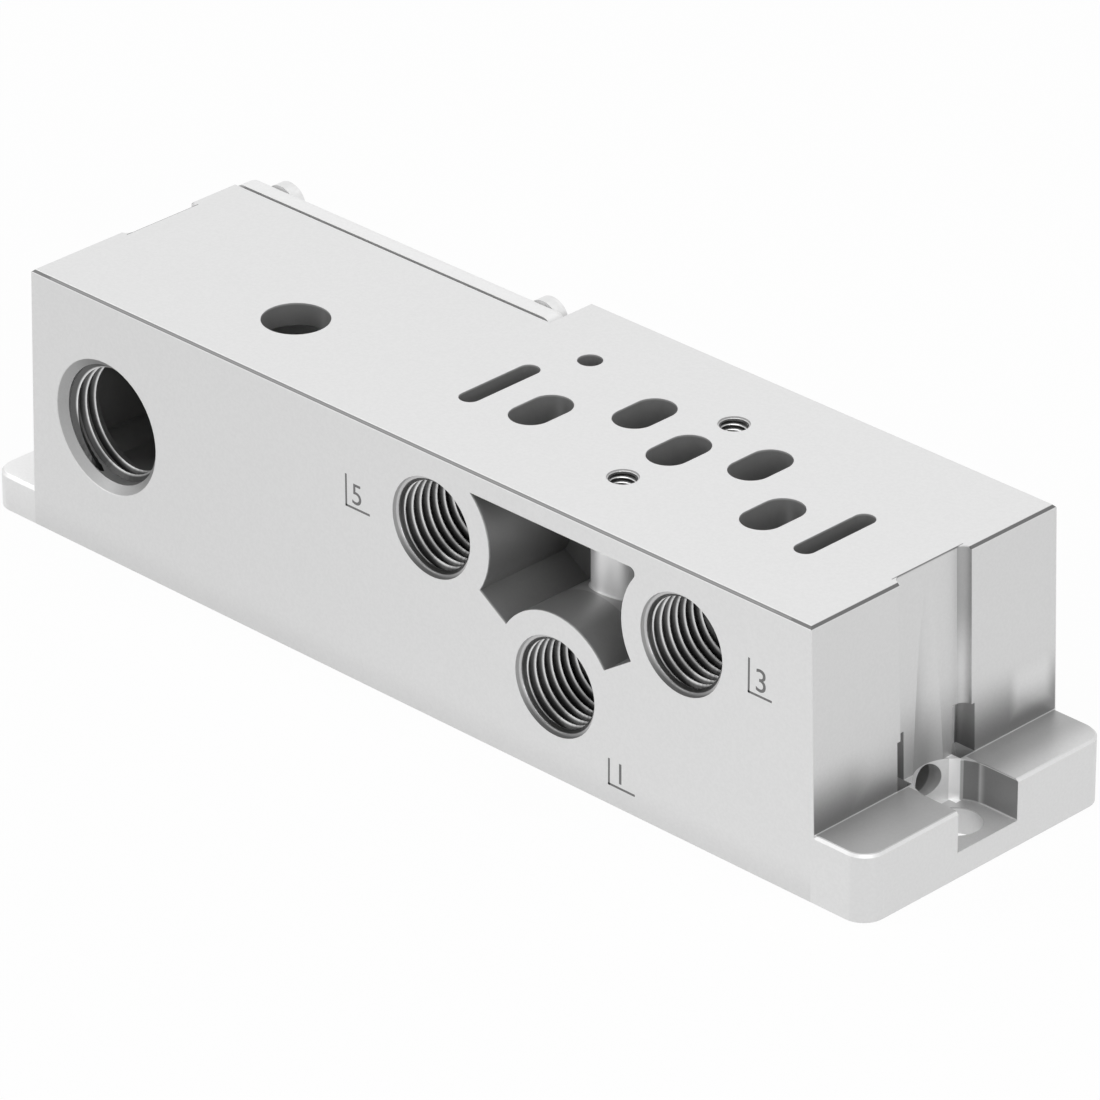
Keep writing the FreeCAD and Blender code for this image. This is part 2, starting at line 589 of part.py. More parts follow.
def cut_valve_face(body):
    """Cut the seven slots of the valve pattern, the screw holes and the locating hole."""
    face = "sizes.body_height"
    upper = new_sketch(body, "outer_air_slots", "XY_Plane", face)
    for steps, side in ((-2, "-"), (-1, ""), (1, ""), (2, "-")):
        across = f"{PATTERN_X} + {steps} * sizes.port_pitch"
        offset = f"{side}sizes.air_slot_offset"
        draw_slot(upper, across, offset, "sizes.air_slot_width", "sizes.air_slot_length")
    pocket(body, "outer_air_ways", upper, f"{face} - {UPPER_PORT} + sizes.air_overrun")
    supply = new_sketch(body, "supply_slot", "XY_Plane", face)
    draw_slot(supply, PATTERN_X, "0", "sizes.air_slot_width", "sizes.air_slot_length")
    pocket(body, "supply_way", supply, f"{face} - sizes.lower_port_height + sizes.air_overrun")
    pilots = new_sketch(body, "pilot_slots", "XY_Plane", face)
    for side in ("-", "+"):
        across = f"{PATTERN_X} {side} sizes.pilot_reach"
        offset = "-sizes.pilot_slot_offset"
        draw_slot(pilots, across, offset, "sizes.pilot_slot_width", "sizes.pilot_slot_length")
    pocket(body, "pilot_slot_cut", pilots, "sizes.pilot_slot_depth")
    screws = new_sketch(body, "valve_screw_plan", "XY_Plane", face)
    for side in ("-", ""):
        up = f"{side}sizes.valve_screw_pitch / 2"
        draw_circle(screws, PATTERN_X, up, "sizes.valve_screw_bore")
    pocket(body, "valve_screw_holes", screws, "sizes.valve_screw_depth")
    locating = new_sketch(body, "locating_plan", "XY_Plane", face)
    across = f"{PATTERN_X} - sizes.locating_reach"
    draw_circle(locating, across, "sizes.locating_offset", "sizes.locating_bore")
    pocket(body, "locating_hole", locating, "sizes.locating_depth")


def cut_ports(body):
    """Bore the threaded ports in the front and rear faces and the air ways behind them."""
    outer_depth = f"{HALF_WIDTH} - sizes.air_slot_offset + sizes.air_overrun"
    supply_depth = f"{HALF_WIDTH} + sizes.air_overrun"
    upper, lower = UPPER_PORT, "sizes.lower_port_height"
    for face, reach, rear in (("front", "front_port_reach", False), ("rear", "rear_port_reach", True)):
        start = f"-{HALF_WIDTH}" if rear else HALF_WIDTH
        centres = [(f"{PATTERN_X} {side} sizes.{reach}", upper) for side in "-+"]
        ways = new_sketch(body, f"{face}_air_plan", "XZ_Plane", start)
        for centre in centres:
            draw_circle(ways, *centre, "sizes.air_drill")
        pocket(body, f"{face}_air_drills", ways, outer_depth, along_normal=rear)
        bores = new_sketch(body, f"{face}_port_plan", "XZ_Plane", start)
        for centre in centres if rear else centres + [(PATTERN_X, lower)]:
            draw_circle(bores, *centre, "sizes.port_bore")
        pocket(body, f"{face}_port_bores", bores, "sizes.port_bore_depth", along_normal=rear)
    supply = new_sketch(body, "supply_air_plan", "XZ_Plane", HALF_WIDTH)
    draw_circle(supply, PATTERN_X, lower, "sizes.air_drill")
    pocket(body, "supply_air_drill", supply, supply_depth)


def cut_pilot_ports(body):
    """Drill the pilot port in each end wall and its air way to the pilot slot above."""
    across, up = "sizes.pilot_port_offset", "sizes.pilot_port_height"
    drop = "(sizes.body_height - sizes.pilot_port_height)"
    entry = f"({HALF_TOP} - sizes.recess_depth + sizes.wall_draft * {drop})"
    drills = new_sketch(body, "pilot_drop_plan", "XY_Plane", "sizes.body_height")
    for side, sign in (("left", "-"), ("right", "+")):
        slot_x = f"({PATTERN_X} {sign} sizes.pilot_reach)"
        start = f"{entry}" if sign == "+" else f"-{entry}"
        for part, size, length in (
            ("port", "sizes.pilot_port_bore", "sizes.pilot_port_depth"),
            ("way", "sizes.pilot_drill", f"{entry} {'-' if sign == '+' else '+'} {slot_x}"),
        ):
            plan = new_sketch(body, f"{side}_pilot_{part}_plan", "YZ_Plane", start)
            draw_circle(plan, across, up, size)
            pocket(body, f"{side}_pilot_{part}", plan, length, along_normal=sign == "-")
        draw_circle(drills, slot_x, across, "sizes.pilot_drill")
    pocket(body, "pilot_drops", drills, drop)


def cut_compartment(body):
    """Cut the seat of the rear cover, the wiring compartment and its openings."""
    seat = new_sketch(body, "cover_seat_plan", "XZ_Plane", f"-{HALF_WIDTH}")
    beyond = f"(-sizes.overall_length / 2 - {CLEAR_OF_PART})"
    over = f"sizes.body_height + {CLEAR_OF_PART}"
    draw_polygon(seat, [
        (beyond, "sizes.left_foot_height"),
        ("sizes.cover_step_x", "sizes.left_foot_height"),
        ("sizes.cover_step_x", over),
        (beyond, over),
    ])
    pocket(body, "cover_seat", seat, "sizes.cover_step_depth", along_normal=True)
    chamber = new_sketch(body, "chamber_outline", "XZ_Plane", f"-{SEAT_Y}")
    draw_chamber(chamber)
    depth = f"{SEAT_Y} + {HALF_WIDTH} - sizes.chamber_front_wall"
    pocket(body, "wiring_chamber", chamber, depth, along_normal=True)
    posts = new_sketch(body, "cover_screw_plan", "XZ_Plane", f"-{SEAT_Y}")
    for centre in SCREW_AXES:
        draw_circle(posts, *centre, "sizes.screw_thread")
    pocket(body, "cover_screw_holes", posts, "sizes.screw_hole_depth", along_normal=True)
    gland = new_sketch(body, "gland_plan", "XZ_Plane", HALF_WIDTH)
    draw_circle(gland, f"{LEFT_EDGE} + sizes.gland_inset", "sizes.gland_height", "sizes.gland_bore")
    pocket(body, "gland_bore", gland, "sizes.chamber_front_wall + sizes.gland_chamfer")
    dress(body, "Chamfer", "gland_lead_in", is_gland_rim, "sizes.gland_chamfer")
    wires = new_sketch(body, "wire_hole_plan", "XY_Plane", "sizes.body_height")
    draw_circle(wires, f"{LEFT_EDGE} + sizes.wire_inset", "-sizes.wire_offset", "sizes.wire_bore")
    pocket(body, "wire_hole", wires, "sizes.chamber_roof + sizes.gland_chamfer")


def is_gland_rim(edge):
    """Pick the gland port's circle on the front face."""
    bounds = edge.BoundBox
    on_face = bounds.YLength < SAME_PLACE and near(bounds.YMin, f"-{HALF_WIDTH}")
    return on_face and near(bounds.XLength, "sizes.gland_bore")


def make_rear_cover():
    """Build the plate that closes the compartment, flush with the valve face."""
    body = new_body("rear_cover")
    outline = new_sketch(body, "cover_outline", "XZ_Plane", f"-{PLATE_Y}")
    corner = "sizes.cover_corner_radius"
    draw_rounded_box(outline, COVER_LEFT, COVER_RIGHT, COVER_BOTTOM, COVER_TOP, corner)
    plate = pad(body, "plate", outline, "sizes.cover_thickness")
    plate.Reversed = True
    document.recompute()
    dress(body, "Fillet", "cover_rim", is_outer_rim, "sizes.cover_edge_radius")
    holes = new_sketch(body, "cover_hole_plan", "XZ_Plane", f"-{PLATE_Y}")
    for centre in SCREW_AXES:
        draw_circle(holes, *centre, "sizes.screw_passage")
    pocket(body, "cover_holes", holes, "sizes.cover_thickness")
    return body


def is_outer_rim(edge):
    """Pick the edges round the cover's outer face."""
    bounds = edge.BoundBox
    outer = f"{PLATE_Y} + sizes.cover_thickness"
    return bounds.YLength < SAME_PLACE and near(bounds.YMin, outer)


def make_cover_seal():
    """Build the flat seal that lies between the cover and the compartment's edge."""
    body = new_body("cover_seal")
    outline = new_sketch(body, "seal_outline", "XZ_Plane", f"-{SEAT_Y}")
    left, right = f"({COVER_LEFT} + sizes.seal_inset)", f"({COVER_RIGHT} - sizes.seal_inset)"
    low, high = f"({COVER_BOTTOM} + sizes.seal_inset)", f"({COVER_TOP} - sizes.seal_inset)"
    draw_rounded_box(outline, left, right, low, high, "sizes.cover_corner_radius")
    draw_chamber(outline)
    for centre in SCREW_AXES:
        draw_circle(outline, *centre, "sizes.screw_passage")
    sheet = pad(body, "sheet", outline, "sizes.seal_thickness")
    sheet.Reversed = True
    document.recompute()
    return body


def make_cover_screw(number, across, up):
    """Build one slotted cheese-head screw and seat it on the cover."""
    body = new_body(f"cover_screw_{number}")
    profile = new_sketch(body, f"screw_profile_{number}", "XY_Plane")
    head = "sizes.head_diameter / 2"
    shank = "(sizes.screw_thread / 2 - sizes.screw_play)"
    draw_polygon(profile, [
        ("0", "-sizes.screw_length"),
        (f"{shank} - sizes.screw_tip", "-sizes.screw_length"),
        (shank, "sizes.screw_tip - sizes.screw_length"),
        (shank, "0"),
        (head, "0"),
        (head, "sizes.head_height - sizes.head_edge"),
        (f"{head} - sizes.head_edge", "sizes.head_height"),
        ("0", "sizes.head_height"),
    ])
    turned = body.newObject("PartDesign::Revolution", f"screw_form_{number}")
    turned.Profile = profile
    turned.ReferenceAxis = (profile, ["V_Axis"])
    turned.Angle = 360
    document.recompute()
    slot = new_sketch(body, f"driver_slot_plan_{number}", "XZ_Plane", "-sizes.head_height")
    long_way, short_way = "sizes.head_diameter", "sizes.driver_slot_width / 2"
    draw_polygon(slot, [
        (f"-{long_way}", f"-{short_way}"),
        (long_way, f"-{short_way}"),
        (long_way, short_way),
        (f"-{long_way}", short_way),
    ])
    depth = "sizes.driver_slot_depth"
    pocket(body, f"driver_slot_{number}", slot, depth, along_normal=True)
    seat = f"{PLATE_Y} + sizes.cover_thickness"
    for axis, place in (("x", across), ("y", seat), ("z", up)):
        body.setExpression(f"Placement.Base.{axis}", place)
    document.recompute()
    return body


def check(pieces):
    """Stop if any object of the document failed, or any piece is no valid single solid."""
    for item in document.Objects:
        if {"Invalid", "Error"} & set(item.State):
            raise RuntimeError(f"{item.Label} failed: {item.State}")
        if item.TypeId == "Sketcher::SketchObject" and not item.FullyConstrained:
            raise RuntimeError(f"{item.Label} is not fully constrained")
    for piece in pieces:
        shape = piece.Shape
        if shape.isNull() or not shape.isValid() or len(shape.Solids) != 1:
            raise RuntimeError(f"{piece.Label} is not one valid solid")


def main():
    """Build every piece, check the document and write one STEP file for each piece."""
    pieces = [make_subbase_body(), make_rear_cover(), make_cover_seal()]
    for number, (across, up) in enumerate(SCREW_AXES, start=1):
        pieces.append(make_cover_screw(number, across, up))
    document.recompute()
    check(pieces)
    os.makedirs("parts", exist_ok=True)
    for piece in pieces:
        piece.Shape.exportStep(f"parts/{piece.Label}.step")
        box = piece.Shape.optimalBoundingBox(True, False)
        low = ", ".join(f"{value:.2f}" for value in (box.XMin, box.YMin, box.ZMin))
        high = ", ".join(f"{value:.2f}" for value in (box.XMax, box.YMax, box.ZMax))
        print(f"{piece.Label}: {piece.Shape.Volume:.1f} mm3, ({low}) to ({high})")


main()
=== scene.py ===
"""Dresses the pneumatic valve subbase: cut threads, port numbers, finishes, studio and camera.

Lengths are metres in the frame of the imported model, unless a class says millimetres: +X towards
the foot with the high pads, -Y out of the front ports, +Z up to the valve face, origin under the
middle.
"""
import logging
import math
from dataclasses import dataclass
from enum import Enum
from typing import Optional, Union

import bmesh
import bpy
from mathutils import Matrix, Vector


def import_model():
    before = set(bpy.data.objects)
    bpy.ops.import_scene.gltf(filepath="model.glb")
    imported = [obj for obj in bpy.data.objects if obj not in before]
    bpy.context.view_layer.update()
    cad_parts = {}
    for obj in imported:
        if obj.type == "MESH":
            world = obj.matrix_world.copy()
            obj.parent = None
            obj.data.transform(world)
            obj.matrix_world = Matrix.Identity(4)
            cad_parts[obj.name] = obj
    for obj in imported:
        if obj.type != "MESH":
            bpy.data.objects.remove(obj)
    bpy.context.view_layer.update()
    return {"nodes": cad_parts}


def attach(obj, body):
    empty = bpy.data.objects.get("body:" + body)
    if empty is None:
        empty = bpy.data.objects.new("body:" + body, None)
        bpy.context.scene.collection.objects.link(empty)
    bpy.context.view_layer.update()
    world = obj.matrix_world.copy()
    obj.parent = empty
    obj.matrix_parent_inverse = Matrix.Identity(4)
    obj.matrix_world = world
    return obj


log = logging.getLogger("valve_subbase")
MM = 0.001
ROOT = "root"
NOISE_LOW, NOISE_HIGH = 0.3, 0.7
NOISE_DETAIL = 2.0

# Numbers of the Mix node's sockets for colours
MIX_FIRST, MIX_SECOND, MIX_RESULT = 6, 7, 2

Socket = bpy.types.NodeSocket
Value = Union[bpy.types.NodeSocket, float, tuple]


class Slot(Enum):
    """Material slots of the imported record."""

    CASTING = "casting"
    SEAL = "seal"
    SCREW = "screw_steel"


class Facing(Enum):
    """Directions that a hole of the subbase can open to."""

    FRONT = (0.0, -1.0, 0.0)
    REAR = (0.0, 1.0, 0.0)
    UP = (0.0, 0.0, 1.0)

    def turn(self) -> Matrix:
        """Return the turn that carries +Z onto this direction."""
        return Vector((0, 0, 1)).rotation_difference(Vector(self.value)).to_matrix().to_4x4()


class Shader:
    """A material's node tree, built one expression at a time."""

    def __init__(self, name: str) -> None:
        """Start an empty material.

        Args:
            name: name of the material.
        """
        self.material = bpy.data.materials.new(name)
        self.material.use_nodes = True
        self.tree = self.material.node_tree
        self.tree.nodes.clear()
        self.output = self.tree.nodes.new("ShaderNodeOutputMaterial")
        self.place = self.tree.nodes.new("ShaderNodeTexCoord").outputs["Object"]

    def link(self, value: Value, socket: Socket) -> None:
        """Feed a socket with another socket or with a plain value.

        Args:
            value: what goes in.
            socket: input of a node.
        """
        if isinstance(value, bpy.types.NodeSocket):
            self.tree.links.new(value, socket)
        else:
            socket.default_value = value

    def math(self, kind: str, *values: Value) -> Socket:
        """Work out a Math node.

        Args:
            kind: operation of the node, such as ADD.
            values: sockets or numbers that go in.

        Returns:
            The socket of the result.
        """
        node = self.tree.nodes.new("ShaderNodeMath")
        node.operation = kind
        for value, socket in zip(values, node.inputs):
            self.link(value, socket)
        return node.outputs[0]

    def least(self, first: Value, *others: Value) -> Value:
        """Return the lowest of several values.

        Args:
            first: one of the values.
            others: the rest of them.

        Returns:
            The socket of the result.
        """
        for other in others:
            first = self.math("MINIMUM", first, other)
        return first

    def ramp(self, value: Value, low: float, high: float, start: float = 0.0,
             finish: float = 1.0) -> Socket:
        """Turn a range of values smoothly into another range.

        Args:
            value: what is mapped.
            low: value that gives start.
            high: value that gives finish.
            start: result at low and below it.
            finish: result at high and above it.

        Returns:
            The socket of the result.
        """
        node = self.tree.nodes.new("ShaderNodeMapRange")
        node.interpolation_type = "SMOOTHSTEP"
        for socket, number in zip(node.inputs, (value, low, high, start, finish)):
            self.link(number, socket)
        return node.outputs["Result"]

    def axes(self) -> tuple:
        """Return the X, Y and Z sockets of the place on the object."""
        node = self.tree.nodes.new("ShaderNodeSeparateXYZ")
        self.link(self.place, node.inputs[0])
        return tuple(node.outputs)

    def radius(self, axes: tuple, along: int, middle: tuple) -> Socket:
        """Return the distance from a line that runs along one axis.

        Args:
            axes: the X, Y and Z sockets of the place on the object.
            along: number of the line's axis.
            middle: where the line crosses the two other axes.

        Returns:
            The socket of the distance.
        """
        across = [place for number, place in enumerate(axes) if number != along]
        squares = [
            self.math("POWER", self.math("SUBTRACT", place, value), 2.0)
            for place, value in zip(across, middle)
        ]
        return self.math("SQRT", self.math("ADD", *squares))

    def blend(self, factor: Value, first: Value, second: Value) -> Socket:
        """Mix two colours.

        Args:
            factor: 0 for the first, 1 for the second.
            first: colour or socket.
            second: colour or socket.

        Returns:
            The socket of the mixed colour.
        """
        node = self.tree.nodes.new("ShaderNodeMix")
        node.data_type = "RGBA"
        self.link(factor, node.inputs["Factor"])
        self.link(first, node.inputs[MIX_FIRST])
        self.link(second, node.inputs[MIX_SECOND])
        return node.outputs[MIX_RESULT]

    def scaled(self, colour: Value, gain: Value) -> Socket:
        """Return a colour made lighter or darker.

        Args:
            colour: colour or socket.
            gain: number or socket that it is multiplied with.

        Returns:
            The socket of the new colour.
        """
        node = self.tree.nodes.new("ShaderNodeVectorMath")
        node.operation = "SCALE"
        self.link(colour, node.inputs[0])
        self.link(gain, node.inputs["Scale"])
        return node.outputs[0]

    def capped(self, colour: Value, most: float) -> Socket:
        """Return a colour of which no part is above a level.

        Args:
            colour: colour or socket.
            most: the highest level.

        Returns:
            The socket of the new colour.
        """
        node = self.tree.nodes.new("ShaderNodeVectorMath")
        node.operation = "MINIMUM"
        self.link(colour, node.inputs[0])
        self.link((most, most, most), node.inputs[1])
        return node.outputs[0]

    def grain(self, scale: float) -> Socket:
        """Return noise over the object.

        Args:
            scale: waves per metre.

        Returns:
            The socket of the noise, about 0.5 in the mean.
        """
        noise = self.tree.nodes.new("ShaderNodeTexNoise")
        self.link(self.place, noise.inputs["Vector"])
        noise.inputs["Scale"].default_value = scale
        noise.inputs["Detail"].default_value = NOISE_DETAIL
        return noise.outputs["Fac"]

    def bump(self, height: Socket, depth: float) -> Socket:
        """Tilt the normal by a height field.

        Args:
            height: the field, from 0 to 1.
            depth: what 1 stands for.

        Returns:
            The socket of the normal.
        """
        node = self.tree.nodes.new("ShaderNodeBump")
        node.inputs["Distance"].default_value = depth
        self.link(height, node.inputs["Height"])
        return node.outputs["Normal"]

    def surface(self, colour: Value, roughness: Value, metallic: float,
                normal: Optional[Socket] = None) -> bpy.types.Material:
        """Close the tree with a Principled surface.

        Args:
            colour: colour or socket.
            roughness: number or socket.
            metallic: share of metal.
            normal: socket of a bumped normal, or None.

        Returns:
            The finished material.
        """
        node = self.tree.nodes.new("ShaderNodeBsdfPrincipled")
        self.link(colour, node.inputs["Base Color"])
        self.link(roughness, node.inputs["Roughness"])
        node.inputs["Metallic"].default_value = metallic
        if normal is not None:
            self.link(normal, node.inputs["Normal"])
        self.tree.links.new(node.outputs[0], self.output.inputs["Surface"])
        return self.material


def grey(level: float) -> tuple:
    """Return a neutral colour of one level."""
    return (level, level, level, 1.0)


@dataclass(frozen=True)
class Patch:
    """A box of the casting, in millimetres, in which its colour is made lighter or darker, mostly
    as painted light and shade.

    The gain changes from the start of the fade to its end along one axis, and the box's sides
    are soft.
    """

    low: tuple
    high: tuple
    gain: float
    far_gain: float
    axis: int = 2
    fade: tuple = (0.0, 1.0)
    soft: float = 0.1

    def shade(self, shader: Shader, axes: tuple) -> Socket:
        """Return the gain over the whole object: 1 outside the box.

        Args:
            shader: material being built.
            axes: the X, Y and Z sockets of the place on the object.

        Returns:
            The socket of the gain.
        """
        depths = []
        for place, low, high in zip(axes, self.low, self.high):
            middle, half = (low + high) / 2 * MM, (high - low) / 2 * MM
            off = shader.math("ABSOLUTE", shader.math("SUBTRACT", place, middle))
            depths.append(shader.math("SUBTRACT", half, off))
        share = shader.ramp(shader.least(*depths), 0.0, self.soft * MM)
        start, finish = (value * MM for value in self.fade)
        change = shader.ramp(axes[self.axis], start, finish, self.gain - 1.0, self.far_gain - 1.0)
        return shader.math("MULTIPLY_ADD", share, change, 1.0)


@dataclass(frozen=True)
class Ring:
    """A round zone of the casting about one axis, in millimetres."""

    centre: tuple
    axis: int
    inner: float
    outer: float
    low: float
    high: float
    soft: float = 0.08

    def share(self, shader: Shader, axes: tuple) -> Socket:
        """Return 1 inside the zone and 0 elsewhere.

        Args:
            shader: material being built.
            axes: the X, Y and Z sockets of the place on the object.

        Returns:
            The socket of the share.
        """
        middle = tuple(value * MM for value in self.centre)
        radius = shader.radius(axes, self.axis, middle)
        along = axes[self.axis]
        depth = shader.least(
            shader.math("SUBTRACT", radius, self.inner * MM),
            shader.math("SUBTRACT", self.outer * MM, radius),
            shader.math("SUBTRACT", along, self.low * MM),
            shader.math("SUBTRACT", self.high * MM, along))
        return shader.ramp(depth, 0.0, self.soft * MM)


@dataclass(frozen=True)
class BlastedAluminium:
    """Finish of the casting: fine blasted, with painted light and shade in its colour.

    The valve face is painted lighter than the sides, as the light falls from above, and the
    hollows get painted shade that darkens with depth. The first places follow the block's outer
    faces, so that its hollows can be told from them. Pairs of lengths say where a change of
    colour starts and ends.
    """

    half_width: float = 21.0 * MM
    height: float = 36.0 * MM
    half_top: float = 66.0 * MM
    draft: float = 0.03
    recess: float = 1.3 * MM
    recess_half: float = 6.1 * MM
    cover_seat: float = 13.35 * MM
    cover_step: float = -9.6 * MM
    end_recess: float = 3.2 * MM
    skin: tuple = (0.04 * MM, 0.35 * MM)
    face_skin: tuple = (0.0, 0.3 * MM)
    dimming: tuple = (0.5 * MM, 16.0 * MM)
    edge_start: tuple = (0.02 * MM, 0.08 * MM)
    edge_end: tuple = (0.44 * MM, 0.5 * MM)
    lip_drop: tuple = (0.02 * MM, 0.32 * MM)
    lip_reach: tuple = (0.0, 0.12 * MM)
    # Painted light: the valve face is lighter than the sides, as the light falls from above.
    top: float = 0.745
    sides: float = 0.70
    # Painted shade in the hollows: the inside level, falling to the deep level with depth.
    inside: float = 0.36
    deep: float = 0.10
    # Painted reflection: the dark level of the broken edges of the valve face and of the recess's
    # lip.
    edge: float = 0.16
    brightest: float = 0.92
    roughness: float = 0.42
    metallic: float = 0.6
    mottle_scale: float = 2600.0
    mottle: tuple = (0.985, 1.015)
    blast_scale: float = 9000.0
    blast_depth: float = 0.003 * MM
    # Zones in the hollows kept out of their painted shade: the boss of the front valve screw and
    # the gland port's chamfer.
    lit: tuple = (
        Ring((25.0, -9.5), 2, 2.6, 4.1, 15.0, 34.0),
        Ring((-53.06, 18.56), 1, 7.95, 9.2, -21.5, -19.9),
    )
    patches: tuple = (
        # End wall over the high pads: painted shade that fades upwards from the pads, over its
        # three parts, and two zones of painted light
        Patch((60.0, -20.9, 9.0), (75.0, -6.1, 36.0), 0.29, 0.94, fade=(9.0, 18.0), soft=0.03),
        Patch((60.0, -6.2, 9.0), (75.0, 6.2, 36.0), 0.50, 0.94, fade=(9.0, 20.0), soft=0.03),
        Patch((60.0, 6.1, 9.0), (75.0, 20.9, 36.0), 0.32, 0.95, fade=(9.5, 18.5), soft=0.03),
        Patch((60.0, -15.0, 9.05), (75.0, -3.0, 21.0), 1.5, 1.0, fade=(9.0, 18.0), soft=4.0),
        Patch((60.0, 12.5, 10.0), (75.0, 20.95, 22.0), 1.6, 1.0, fade=(12.5, 18.0), soft=2.0),
        # Painted shade on the rear side of that wall's recess, and two narrow strips of painted
        # highlight below it
        Patch((64.3, 5.0, 15.4), (66.9, 6.25, 35.9), 0.93, 0.58, fade=(20.0, 29.0)),
        Patch((63.5, 5.6, 9.0), (64.0, 6.4, 15.0), 7.0, 3.0, fade=(9.0, 15.0)),
        Patch((65.0, 3.2, 3.4), (67.2, 4.2, 9.1), 2.0, 2.0),
        # Painted shade on the tops of the high pads, and on the seat between them with its rear
        # wall
        Patch((67.0, -20.8, 8.9), (74.7, -5.0, 9.1), 0.60, 0.70, 0, (67.0, 74.0), 0.01),
        Patch((67.0, 5.0, 8.9), (74.7, 20.8, 9.1), 0.59, 0.92, 0, (70.0, 75.0), 0.01),
        Patch((66.0, -5.3, 3.3), (76.0, 5.15, 8.8), 0.68, 0.92, 0, (66.0, 75.0)),
        Patch((66.0, 5.1, 3.6), (75.0, 5.3, 8.8), 0.40, 0.40),
        Patch((67.15, 4.1, 3.6), (70.3, 5.15, 8.9), 0.55, 0.50),
        # Front face: painted light and shade changing from end to end, and painted shade along
        # its foot
        Patch((-76.0, -21.5, -0.5), (76.0, -20.9, 36.0), 0.98, 1.04, 0, (-60.0, 70.0)),
        Patch((-76.0, -21.5, -0.5), (66.5, -20.9, 36.0), 0.92, 1.0, fade=(0.0, 4.5)),
        # Painted light on the low foot and its pad's top, painted shade on the gland port's
        # chamfer, the cover made lighter, and painted light on the post in the front pocket
        Patch((-76.0, -21.5, -0.5), (-66.9, 20.8, 5.1), 1.1, 1.1),
        Patch((-75.5, -20.8, 4.9), (-66.0, 20.8, 5.2), 1.12, 1.12, soft=0.01),
        Patch((-62.6, -20.98, 9.0), (-43.5, -19.9, 28.0), 0.55, 0.55),
        Patch((-66.5, 13.5, 4.0), (-9.7, 17.5, 36.5), 1.1, 1.1),
        Patch((20.0, -14.0, 20.0), (29.5, -5.0, 33.1), 1.3, 1.45, fade=(20.0, 32.0)),
    )
    hollow_shade_boxes: tuple = (
        # Painted shade in the front pocket: darker near its mouth, lighter towards its back.
        Patch((6.0, -21.0, 17.0), (42.0, -6.0, 33.3), 0.8, 2.2, 1, (-21.0, -6.5)),
    )

    def make(self) -> bpy.types.Material:
        """Return the material."""
        shader = Shader("blasted_aluminium")
        axes = shader.axes()
        x, y, z = axes
        front = shader.math("ADD", y, self.half_width)
        below = shader.math("SUBTRACT", self.height, z)
        slope = shader.math("MULTIPLY_ADD", below, self.draft, self.half_top)
        end = shader.math("SUBTRACT", slope, shader.math("ABSOLUTE", x))
        hidden, depth = self.depth_inside(shader, axes, front, below, end)
        # Painted light: the valve face lighter than the sides.
        face = shader.ramp(below, *self.face_skin)
        colour = shader.blend(face, grey(self.top), grey(self.sides))
        # Painted reflection: dark lines on the broken edges.
        line = self.painted_edge_reflection(shader, y, front, below, end)
        colour = shader.blend(line, colour, grey(self.edge))
        # Painted shade in the hollows, darker with depth.
        dim = shader.ramp(depth, *self.dimming)
        hollow = shader.blend(dim, grey(self.inside), grey(self.deep))
        for patch in self.hollow_shade_boxes:
            hollow = shader.scaled(hollow, patch.shade(shader, axes))
        colour = shader.blend(hidden, colour, hollow)
        mottle = shader.grain(self.mottle_scale)
        gain = shader.ramp(mottle, NOISE_LOW, NOISE_HIGH, *self.mottle)
        # Painted light and shade of the patches.
        for patch in self.patches:
            gain = shader.math("MULTIPLY", gain, patch.shade(shader, axes))
        relief = shader.bump(shader.grain(self.blast_scale), self.blast_depth)
        colour = shader.capped(shader.scaled(colour, gain), self.brightest)
        return shader.surface(colour, self.roughness, self.metallic, relief)

    def depth_inside(self, shader: Shader, axes: tuple, front: Value, below: Value,
                     end: Value) -> tuple:
        """Tell the hollows from the outer faces.

        Args:
            shader: material being built.
            axes: the X, Y and Z sockets of the place on the object.
            front: depth behind the front face.
            below: depth below the valve face.
            end: depth behind the end walls.

        Returns:
            Sockets of the share that is hidden, and of the depth below the outer faces.
        """
        x, y, z = axes
        behind = shader.math("SUBTRACT", self.half_width, y)
        past_step = shader.math("SUBTRACT", x, self.cover_step)
        seat = shader.math("SUBTRACT", self.cover_seat, y)
        rear = shader.math("MAXIMUM", seat, shader.math("MINIMUM", behind, past_step))
        deep_end = shader.math("SUBTRACT", end, self.end_recess)
        depth = shader.least(front, below, rear, deep_end, z)
        # Share that gets the painted shade of the hollows; the lit zones are kept out of it.
        hidden = shader.ramp(depth, *self.skin)
        for zone in self.lit:
            shown = shader.math("SUBTRACT", 1.0, zone.share(shader, axes))
            hidden = shader.math("MULTIPLY", hidden, shown)
        return hidden, depth

    def painted_edge_reflection(self, shader: Shader, y: Value, front: Value, below: Value,
                  end: Value) -> Socket:
        """Paint a dark reflection on the broken edges of the valve face, which mirror something
        dark.

        Args:
            shader: material being built.
            y: the Y socket of the place on the object.
            front: depth behind the front face.
            below: depth below the valve face.
            end: depth behind the end walls.

        Returns:
            The socket of a value that is 1 on the edges and 0 elsewhere.
        """
        in_recess = shader.math("LESS_THAN", shader.math("ABSOLUTE", y), self.recess_half)
        wall = shader.math("MULTIPLY_ADD", in_recess, -self.recess, end)
        lines = []
        for side in (front, wall):
            both = shader.ramp(shader.math("MINIMUM", side, below), *self.edge_start)
            total = shader.ramp(shader.math("ADD", side, below), *self.edge_end, 1, 0)
            lines.append(shader.math("MULTIPLY", both, total))
        # Painted reflection on the lip of the recess as well.
        off_wall = shader.math("ABSOLUTE", shader.math("SUBTRACT", end, self.recess))
        lip = shader.math("MULTIPLY", shader.ramp(below, *self.lip_drop, 1, 0),
                          shader.ramp(off_wall, *self.lip_reach, 1, 0))
        lip = shader.math("MULTIPLY", lip, in_recess)
        return shader.math("MAXIMUM", shader.math("MAXIMUM", *lines), lip)


